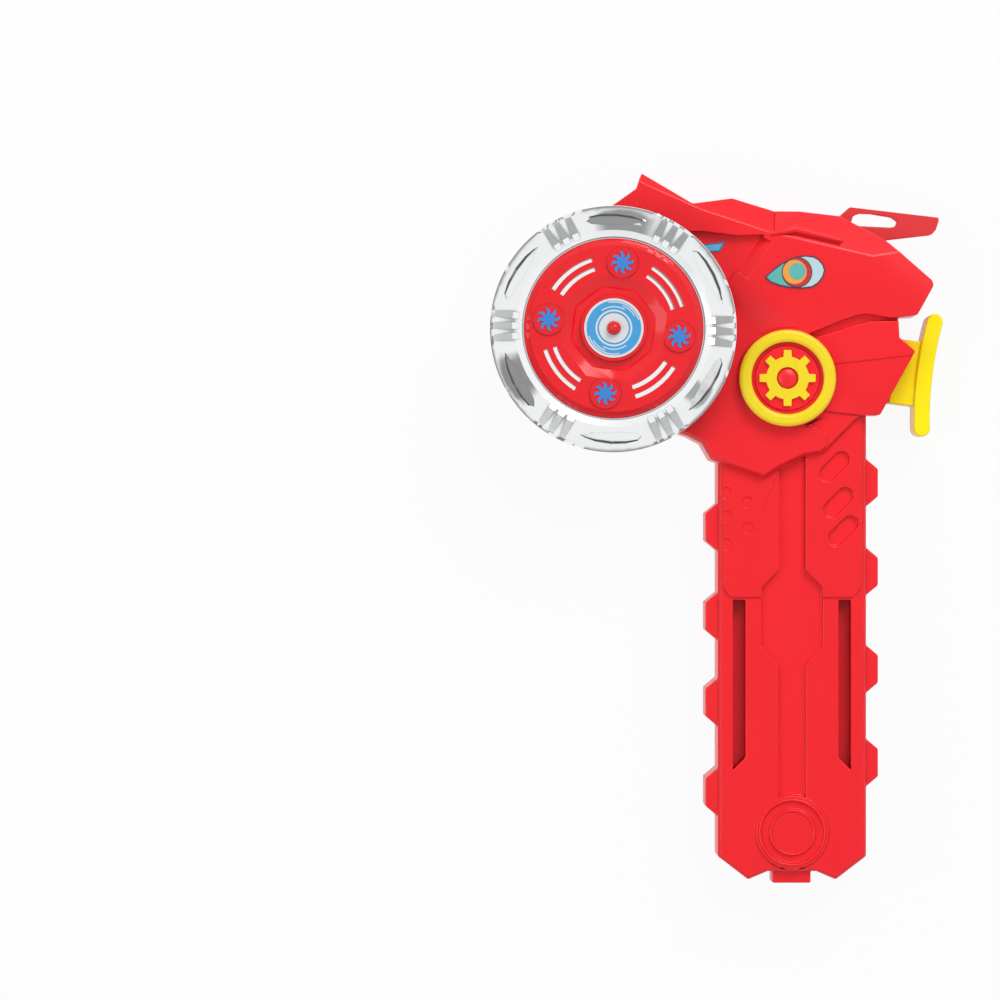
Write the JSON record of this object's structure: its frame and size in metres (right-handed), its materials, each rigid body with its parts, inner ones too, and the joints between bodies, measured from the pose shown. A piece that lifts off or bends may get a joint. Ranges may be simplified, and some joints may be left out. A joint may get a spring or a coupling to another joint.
{
  "type": "spinning top launcher",
  "caption": "Hand-held spinning top launcher: beast-headed casing on a grip, pull-out T plunger, geared chuck, release lever and a chrome-ringed top.",
  "frame": {"origin": "where the spindle axis meets the flat back that the launcher lies on", "axes": "+Z out of the face along the spindle, +Y from the grip to the crest of the head, +X towards the plunger"},
  "size_m": [0.1418, 0.2216, 0.0502],
  "materials": {
    "red_abs": "glossy moulded ABS",
    "yellow_abs": "glossy moulded ABS",
    "crimson_abs": "glossy moulded ABS",
    "chrome_plate": "vacuum-plated ABS",
    "steel": "bright drawn steel",
    "bronze": "sintered bronze",
    "white_pom": "moulded acetal",
    "dark_abs": "moulded ABS",
    "rubber": "moulded rubber",
    "printed_film": "printed film"
  },
  "bodies": {
    "casing": {"front_shell": "red_abs", "back_shell": "red_abs", "badge_ring": "yellow_abs", "badge_wheel": "yellow_abs", "eye_decal": "printed_film", "side_eye_decal": "printed_film", "shell_screws": "steel", "gear_chassis": "white_pom", "chassis_screws": "steel", "layshaft_axle": "steel", "idler_axle": "steel", "spindle_bush": "bronze", "lever_pin": "steel", "lever_spring": "steel"},
    "plunger": {"plunger": "yellow_abs", "plunger_stop": "dark_abs"},
    "layshaft_gear": {"layshaft_gear": "white_pom"},
    "idler_gear": {"idler_gear": "white_pom"},
    "spindle_gear": {"spindle_gear": "white_pom"},
    "chuck": {"spindle_shaft": "steel", "clutch_pawl": "dark_abs", "brake_drum": "dark_abs", "chuck": "dark_abs", "chuck_screw": "steel"},
    "lever": {"release_lever": "crimson_abs", "brake_pad": "rubber"},
    "top": {"top_ring": "chrome_plate", "top_disc": "red_abs", "top_core": "dark_abs", "hub_label": "printed_film", "blade_labels": "printed_film", "top_tip": "red_abs", "top_screws": "steel"}
  },
  "joints": [
    {"name": "plunger_slide", "type": "slide", "parent": "casing", "child": "plunger", "axis": [0.9925, -0.1219, 0], "range_m": [0, 0.045]},
    {"name": "layshaft_spin", "type": "hinge", "parent": "casing", "child": "layshaft_gear", "pos_m": [0.0544, -0.01484, 0.012], "axis": [0, 0, 1], "range_deg": [-516, 1]},
    {"name": "idler_spin", "type": "hinge", "parent": "casing", "child": "idler_gear", "pos_m": [0.02976, -0.00381, 0.015], "axis": [0, 0, 1], "range_deg": [-1, 1474]},
    {"name": "spindle_gear_spin", "type": "hinge", "parent": "casing", "child": "spindle_gear", "pos_m": [0, 0, 0.018], "axis": [0, 0, 1], "range_deg": [-3439, 1]},
    {"name": "chuck_spin", "type": "hinge", "parent": "casing", "child": "chuck", "pos_m": [0, 0, 0.02], "axis": [0, 0, 1], "continuous": true},
    {"name": "top_release", "type": "slide", "parent": "chuck", "child": "top", "axis": [0, 0, 1], "range_m": [0, 0.03]},
    {"name": "release_lever", "type": "hinge", "parent": "casing", "child": "lever", "pos_m": [0.0655, 0.0295, 0.0135], "axis": [0, 0, 1], "range_deg": [0, 4], "stiffness_Nm_per_rad": 0.2}
  ],
  "couplings": [
    {"joint": "layshaft_spin", "follows": "plunger_slide", "rad_per_m": -200},
    {"joint": "idler_spin", "follows": "plunger_slide", "rad_per_m": 571.43},
    {"joint": "spindle_gear_spin", "follows": "plunger_slide", "rad_per_m": -1333.3}
  ]
}
